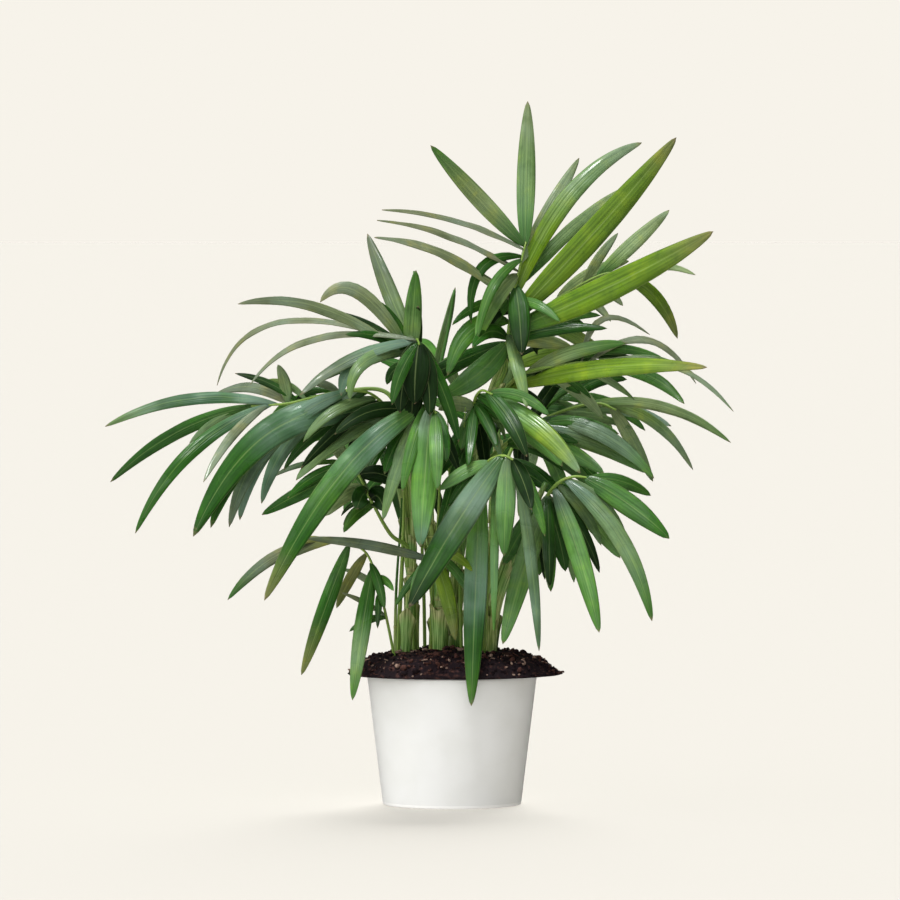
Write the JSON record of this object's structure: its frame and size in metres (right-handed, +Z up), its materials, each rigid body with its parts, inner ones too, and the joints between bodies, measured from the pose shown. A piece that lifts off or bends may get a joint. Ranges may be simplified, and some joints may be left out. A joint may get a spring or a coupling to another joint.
{
  "type": "potted bamboo palm",
  "caption": "House plant: a clump of slender canes with feather-shaped fronds of narrow leaflets, in heaped soil in a plain white tapered pot.",
  "frame": {"origin": "the middle of the pot's flat foot, on the surface that it stands on", "axes": "+Z up the plant, +X to the viewer's right and -Y towards the viewer, as in the picture"},
  "size_m": [0.5626, 0.3922, 0.629],
  "materials": {
    "pot_glaze": "smooth satin white glaze",
    "potting_soil": "loose, matt, dark brown potting mix",
    "cane_skin": "smooth olive green cane skin",
    "leaf_green": "glossy mid green leaf"
  },
  "bodies": {
    "root": {"Cane_Back_Left": "cane_skin", "Cane_Back_Right": "cane_skin", "Cane_Crown": "cane_skin", "Cane_Front": "cane_skin", "Cane_Left_Front": "cane_skin", "Cane_Left_Rear": "cane_skin", "Cane_Middle": "cane_skin", "Cane_Right": "cane_skin", "Frond_Back_Left": "leaf_green", "Frond_Back_Right": "leaf_green", "Frond_Back_Side": "leaf_green", "Frond_Back_Upper": "leaf_green", "Frond_Centre_Front": "leaf_green", "Frond_Centre_Upper": "leaf_green", "Frond_Crown": "leaf_green", "Frond_Crown_Rear": "leaf_green", "Frond_Far_Left": "leaf_green", "Frond_Front_Left": "leaf_green", "Frond_Left_Big": "leaf_green", "Frond_Left_Dark": "leaf_green", "Frond_Low_Left": "leaf_green", "Frond_Right_Low": "leaf_green", "Frond_Right_Lower": "leaf_green", "Frond_Right_Upper": "leaf_green", "Frond_Small": "leaf_green", "Frond_Upper_Left": "leaf_green", "Pot": "pot_glaze", "Shoot_Left": "cane_skin", "Soil": "potting_soil"}
  },
  "joints": []
}
